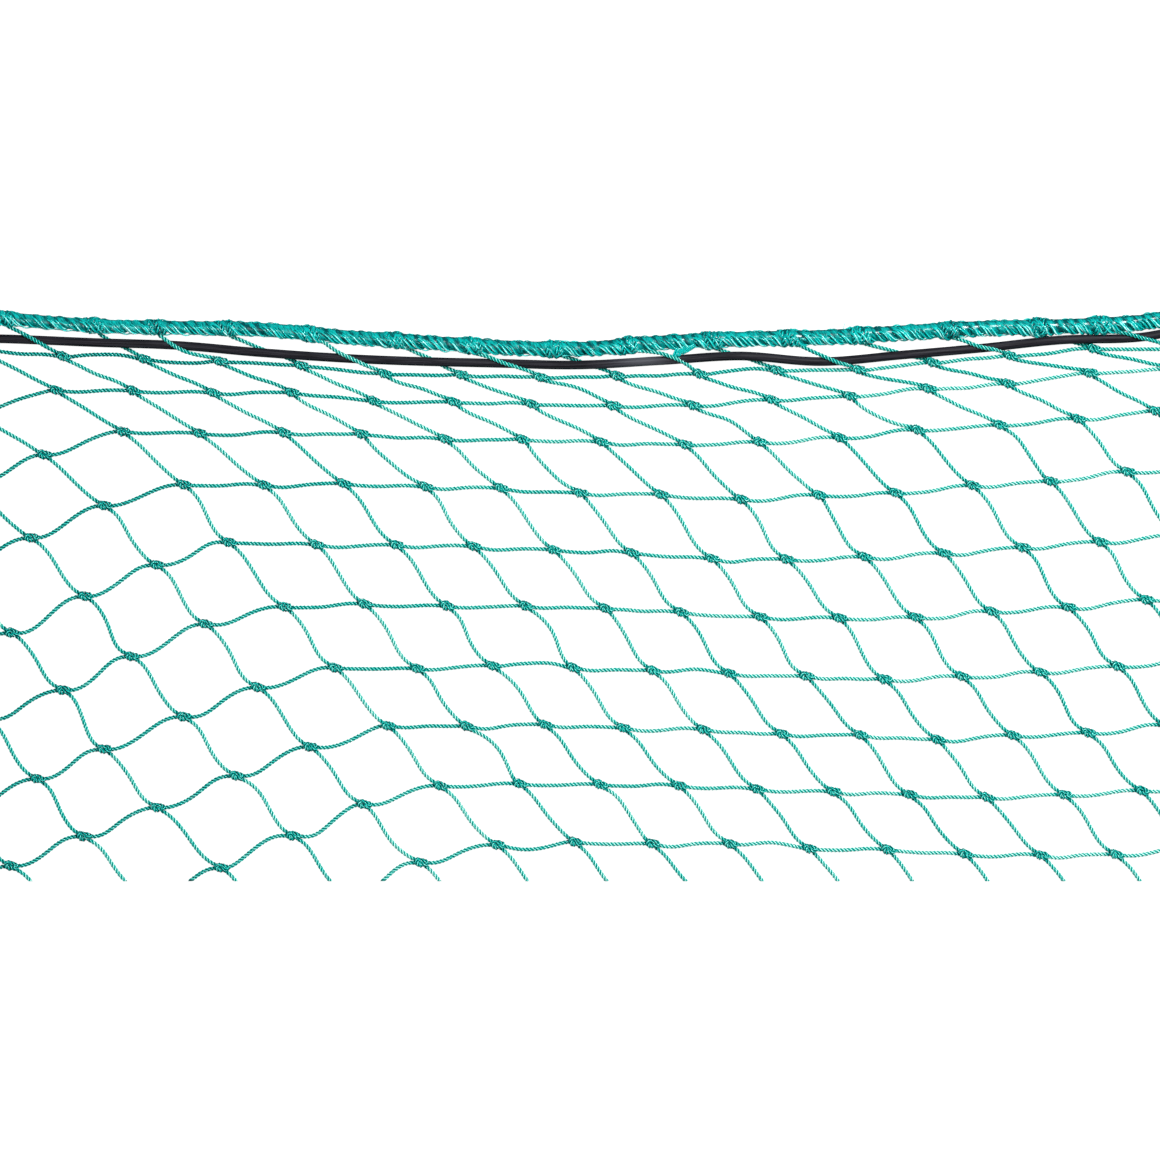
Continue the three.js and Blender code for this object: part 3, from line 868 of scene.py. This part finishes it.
def plait_painted_light(rings):
    """Painted light and shade on the plait: painted light in its lower half, painted shade in the gaps
    between its strands.
    """
    y = rings[..., 1] - edge_height(BORDER_LINE, rings[..., 0])
    z = rings[..., 2] - BORDER_MIDDLE
    aside = y * math.cos(PLAIT_ROLL) - z * math.sin(PLAIT_ROLL)
    above = y * math.sin(PLAIT_ROLL) + z * math.cos(PLAIT_ROLL)
    share = np.hypot(aside / (PLAIT_SWING + STRAND_RADIUS), above / (PLAIT_DEPTH + STRAND_RADIUS))
    share = share / swell(rings[..., 0])
    shown = np.interp(y, (0, PLAIT_PLAIN), (1, PLAIT_PLAIN_SHADOW))
    shadow = PLAIT_SHADOW * shown * np.clip((PLAIT_SHADOW_START - share) / PLAIT_SHADOW_FADE, 0, 1)
    return np.interp(y, PLAIT_PAINTED_LIGHT_HEIGHTS, PLAIT_PAINTED_LIGHTS) - shadow


def add_plait_strand(skin, x, phase):
    strand_swing = phase + 2 * math.pi * x / PLAIT_LENGTH + wander(x, "strand")
    for yarn in range(YARN_COUNT):
        swing = strand_swing + wander(x, "yarn")
        aside = PLAIT_SWING * swell(x) * (1 + wander(x, "swing")) * np.sin(swing)
        above = PLAIT_DEPTH * swell(x) * np.sin(2 * swing)
        middle = rolled(x, aside, above)
        normals, binormals = frames_along(middle)
        spin = 2 * math.pi * (yarn / YARN_COUNT + x / YARN_TURN) + wander(x, "spin")
        away = np.cos(spin)[:, None] * normals + np.sin(spin)[:, None] * binormals
        offset = YARN_OFFSET * swell(x) * (1 + wander(x, "offset"))
        rings = tube_rings(middle + offset[:, None] * away, away, YARN_RADIUS * swell(x), YARN_SIDES)
        rings = trimmed(rings, YARN_INSET * (yarn + phase / (2 * math.pi)))
        skin.tube(rings, rng.uniform(*YARN_TINTS) + plait_painted_light(rings))


def add_edge_loops(skin, x):
    """A thin yarn that comes out in loops along the lower edge of the border."""
    lobe = 2 * PLAIT_LENGTH / PLAIT_STRANDS
    shown = np.clip(LOOP_SHARE + wander(x, "loop_depth"), 0, 1)
    bow = np.maximum(np.sin(2 * math.pi * x / lobe), 0) * shown
    y = edge_height(BORDER_LINE, x) - LOOP_EDGE - LOOP_DEPTH * bow
    path = np.column_stack([x, y, LOOP_HEIGHT + wander(x, "loop_height")])
    skin.tube(trimmed(level_rings(path, LOOP_RADIUS, FIBRE_SIDES)), LOOP_TINT)


def add_tail(skin):
    """A flag of loose fibres that hangs out under the border."""
    first, last = np.array(TAIL_ENDS)
    for share in np.linspace(0, 1, TAIL_FIBRES):
        root = np.interp(share, (0, 1), TAIL_ROOTS)
        y = edge_height(BORDER_LINE, root) - TAIL_ROOT_DROP
        start = np.array([root, y, BORDER_MIDDLE + rng.uniform(*TAIL_ROOT_HEIGHTS)])
        tip = first + share * (last - first) + rng.normal(0, 1, 3) * TAIL_TIP_SPREAD
        sag = (start + tip) / 2 + rng.normal(0, TAIL_SAG_SPREAD, 3)
        path = curve_through([start, sag, tip], YARN_STEP)
        rings = level_rings(path, TAIL_FIBRE_RADIUS, FIBRE_SIDES)
        skin.tube(rings, rng.uniform(*TAIL_TINTS))


def add_hairs(skin):
    for x, lean, height in HAIRS:
        root = np.array([x, edge_height(BORDER_LINE, x), BORDER_MIDDLE]) + HAIR_ROOT
        path = root + np.linspace(0, 1, HAIR_POINTS)[:, None] * (lean, height, 0)
        skin.tube(level_rings(path, HAIR_RADIUS, FIBRE_SIDES), HAIR_TINT)


def plait_skin():
    skin = Skin()
    x = np.arange(CUT_LEFT - CUT_OVERRUN, CUT_RIGHT + CUT_OVERRUN, YARN_STEP)
    for strand in range(PLAIT_STRANDS):
        add_plait_strand(skin, x, 2 * math.pi * strand / PLAIT_STRANDS)
    add_edge_loops(skin, x)
    add_tail(skin)
    add_hairs(skin)
    return skin


def body_skin():
    """Fills the plait, with broad slanting ridges that show towards its upper edge, and painted shade
    in their creases and along that edge.
    """
    steps = int((CUT_RIGHT - CUT_LEFT) / YARN_STEP)
    x = np.linspace(CUT_LEFT + BODY_INSET, CUT_RIGHT - BODY_INSET, steps)[:, None]
    turns = 2 * math.pi * np.arange(BODY_SIDES) / BODY_SIDES
    turns = (turns + math.pi) % (2 * math.pi) - math.pi
    ridge = math.pi * x / RIDGE_LENGTH + wander(x, "ridge") - RIDGE_TURNS / 2 * turns
    shown = np.clip(RIDGE_SHARE + wander(x, "ridge_share"), 0, 1)
    crown = 1 - shown * (1 - np.sqrt(np.abs(np.sin(ridge))))
    radius = BODY_RADIUS * swell(x) * (1 - RIDGE_DEPTH * (1 - crown))
    aside = BODY_RISE - radius * np.sin(turns)
    y = edge_height(BORDER_LINE, x) + aside
    z = BORDER_MIDDLE + radius * np.cos(turns)
    rings = np.stack(np.broadcast_arrays(x, y, z), axis=-1)
    lie = np.stack(np.broadcast_arrays(crown, ridge, BODY_RADIUS * turns), axis=-1)
    skin = Skin()
    # painted shade: darker at the upper edge and in the creases between the ridges
    tint = np.interp(aside, BODY_TINT_HEIGHTS, BODY_TINTS_AND_EDGE_SHADE) - RIDGE_SHADOW * (1 - crown)
    skin.tube(rings, tint, lie)
    return skin


def hitch_skin():
    skin = Skin()
    for hitch in TURNS_X:
        turns = curve_through(hitch_turns(hitch), TWINE_STEP)
        add_twine(skin, turns, HITCH_TINT, [(hitch, 0)], HITCH_GIRTH)
    return skin


def elastic_skin():
    stops, heights = [], []
    for column in range(FIRST_HITCH_COLUMN, FIRST_HITCH_COLUMN + len(HITCH_X)):
        start, end, crossing = leg_line(column)
        x = (start + crossing * (end - start))[0]
        height = ELASTIC_RADIUS + (0 if passes_over(column) else ELASTIC_LIFT)
        stops.append(x)
        heights.append(height)
    x = np.arange(CUT_LEFT - CUT_OVERRUN, CUT_RIGHT + CUT_OVERRUN, ELASTIC_STEP)
    z = np.interp(x, stops, heights)
    path = np.column_stack([x, edge_height(ELASTIC_LINE, x), z])
    skin = Skin()
    rings = trimmed(level_rings(path, ELASTIC_RADIUS, ELASTIC_SIDES))
    away = (rings[..., 0] - ELASTIC_PAINTED_SHEEN) / ELASTIC_PAINTED_SHEEN_REACH
    # a painted sheen, lightest at one place along the cord
    skin.tube(rings, np.exp(-(away**2)))
    return skin


# Materials


def new_material(name):
    material = bpy.data.materials.new(name)
    material.use_nodes = True
    tree = material.node_tree
    return material, tree, tree.nodes["Principled BSDF"]


def attribute(tree, name):
    node = tree.nodes.new("ShaderNodeAttribute")
    node.attribute_name = name
    return node


def fibre_noise(tree, along, around):
    """Noise drawn out along the fibre."""
    stretch = tree.nodes.new("ShaderNodeVectorMath")
    stretch.operation = "MULTIPLY"
    stretch.inputs[1].default_value = (around, around, along)
    noise = tree.nodes.new("ShaderNodeTexNoise")
    noise.inputs["Scale"].default_value = 1.0
    noise.inputs["Detail"].default_value = NOISE_DETAIL
    tree.links.new(attribute(tree, "lie").outputs["Vector"], stretch.inputs[0])
    tree.links.new(stretch.outputs[0], noise.inputs["Vector"])
    return noise


def faded(tree, value, low, high):
    """A value spread from 0 to 1 between two marks."""
    spread = tree.nodes.new("ShaderNodeMapRange")
    spread.inputs["From Min"].default_value = low
    spread.inputs["From Max"].default_value = high
    tree.links.new(value, spread.inputs["Value"])
    return spread.outputs["Result"]


def mixed(tree, first, second, share):
    blend = tree.nodes.new("ShaderNodeMix")
    blend.inputs["Factor"].default_value = share
    tree.links.new(first, blend.inputs["A"])
    tree.links.new(second, blend.inputs["B"])
    return blend.outputs["Result"]


def coloured(tree, value, stops):
    ramp = tree.nodes.new("ShaderNodeValToRGB")
    first, *others = stops
    ramp.color_ramp.elements[0].position = first[0]
    ramp.color_ramp.elements[0].color = (*first[1], 1)
    ramp.color_ramp.elements.remove(ramp.color_ramp.elements[1])
    for position, colour in others:
        ramp.color_ramp.elements.new(position).color = (*colour, 1)
    tree.links.new(value, ramp.inputs["Fac"])
    return ramp.outputs["Color"]


def fibre_material(name, stops, painted_crown_share):
    """Glossy plastic fibre: painted shade in the crevices of its twist and painted highlight on its
    crowns, with streaks along the fibre.
    """
    material, tree, shader = new_material(name)
    lie = tree.nodes.new("ShaderNodeSeparateXYZ")
    tree.links.new(attribute(tree, "lie").outputs["Vector"], lie.inputs["Vector"])
    # painted light and shade: from the crevice beside a ply to its crown
    crown = faded(tree, lie.outputs["X"], *PAINTED_CROWN_MARKS)
    streaks = faded(tree, fibre_noise(tree, **STREAKS).outputs["Fac"], *STREAK_MARKS)
    tone = mixed(tree, streaks, attribute(tree, "tint").outputs["Fac"], FIBRE_TINT_SHARE)
    colour = coloured(tree, mixed(tree, tone, crown, painted_crown_share), stops)
    tree.links.new(colour, shader.inputs["Base Color"])
    bump = tree.nodes.new("ShaderNodeBump")
    bump.inputs["Strength"].default_value = GRAIN_STRENGTH
    bump.inputs["Distance"].default_value = GRAIN_DEPTH * MM
    tree.links.new(fibre_noise(tree, **GRAIN).outputs["Fac"], bump.inputs["Height"])
    tree.links.new(bump.outputs["Normal"], shader.inputs["Normal"])
    shader.inputs["Roughness"].default_value = FIBRE_ROUGHNESS
    shader.inputs["Specular IOR Level"].default_value = FIBRE_SPECULAR
    return material


def elastic_material():
    material, tree, shader = new_material("elastic_sleeve")
    sleeve = fibre_noise(tree, **SLEEVE).outputs["Fac"]
    # mixes the painted sheen into the sleeve's noise
    tone = mixed(tree, sleeve, attribute(tree, "tint").outputs["Fac"], SLEEVE_PAINTED_SHEEN_SHARE)
    colour = coloured(tree, tone, ELASTIC_COLOURS_AND_PAINTED_SHEEN)
    tree.links.new(colour, shader.inputs["Base Color"])
    shader.inputs["Roughness"].default_value = SLEEVE_ROUGHNESS
    shader.inputs["Specular IOR Level"].default_value = SLEEVE_SPECULAR
    return material


def floor_material():
    material, _, shader = new_material("pale_floor")
    shader.inputs["Base Color"].default_value = FLOOR_COLOUR
    shader.inputs["Roughness"].default_value = FLOOR_ROUGHNESS
    shader.inputs["Emission Color"].default_value = WHITE
    shader.inputs["Emission Strength"].default_value = FLOOR_GLOW
    return material


# Assembly

net_low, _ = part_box("net")
layout_shift = np.array([net_low.x / MM - CUT_LEFT, net_low.y / MM, 0])

twine = fibre_material("twine", TWINE_COLOURS_AND_PAINTED_LIGHT, TWINE_PAINTED_CROWN_SHARE)
plaited = fibre_material("plaited_cord", PLAIT_COLOURS_AND_PAINTED_LIGHT, PLAIT_PAINTED_CROWN_SHARE)

for number, skin in enumerate(net_skins(), start=1):
    net_piece = skin.build(f"net_rows_{number}", twine)
    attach(net_piece, "root")
    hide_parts("net")

border_skins = {
    "border_body": body_skin(),
    "border_plait": plait_skin(),
    "border_hitches": hitch_skin(),
}
for name, skin in border_skins.items():
    border_piece = skin.build(name, plaited)
    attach(border_piece, "root")
    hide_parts("border_cord")

elastic = elastic_skin().build("elastic_line", elastic_material())
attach(elastic, "root")
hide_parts("elastic_cord")

# Floor, light and camera


def add_floor():
    mesh = bpy.data.meshes.new("floor")
    corners = [(x * FLOOR_HALF, y * FLOOR_HALF, 0) for x, y in ((-1, -1), (1, -1), (1, 1), (-1, 1))]
    mesh.from_pydata(corners, [], [(0, 1, 2, 3)])
    mesh.materials.append(floor_material())
    floor = bpy.data.objects.new("floor", mesh)
    bpy.context.scene.collection.objects.link(floor)
    floor.visible_glossy = False


def add_light(name, place, size, power):
    light = bpy.data.lights.new(name, "AREA")
    light.size = size
    light.energy = power
    lamp = bpy.data.objects.new(name, light)
    lamp.location = place
    lamp.rotation_euler = (-lamp.location).to_track_quat("-Z", "Y").to_euler()
    bpy.context.scene.collection.objects.link(lamp)


def add_camera():
    camera = bpy.data.cameras.new("camera")
    camera.sensor_width = SENSOR_WIDTH
    camera.lens = SENSOR_WIDTH * CAMERA_HEIGHT / PICTURE_WIDTH
    eye = bpy.data.objects.new("camera", camera)
    x, y = np.array(PICTURE_MIDDLE) + layout_shift[:2]
    eye.location = (x * MM, y * MM, CAMERA_HEIGHT * MM)
    bpy.context.scene.collection.objects.link(eye)
    bpy.context.scene.camera = eye


add_floor()
for light in LIGHTS:
    add_light(**light)
add_camera()

world = bpy.data.worlds.new("studio")
bpy.context.scene.world = world
world.use_nodes = True
world.cycles_visibility.glossy = False
world.node_tree.nodes["Background"].inputs["Color"].default_value = WHITE
world.node_tree.nodes["Background"].inputs["Strength"].default_value = WORLD_STRENGTH
bpy.context.scene.view_settings.view_transform = "Standard"
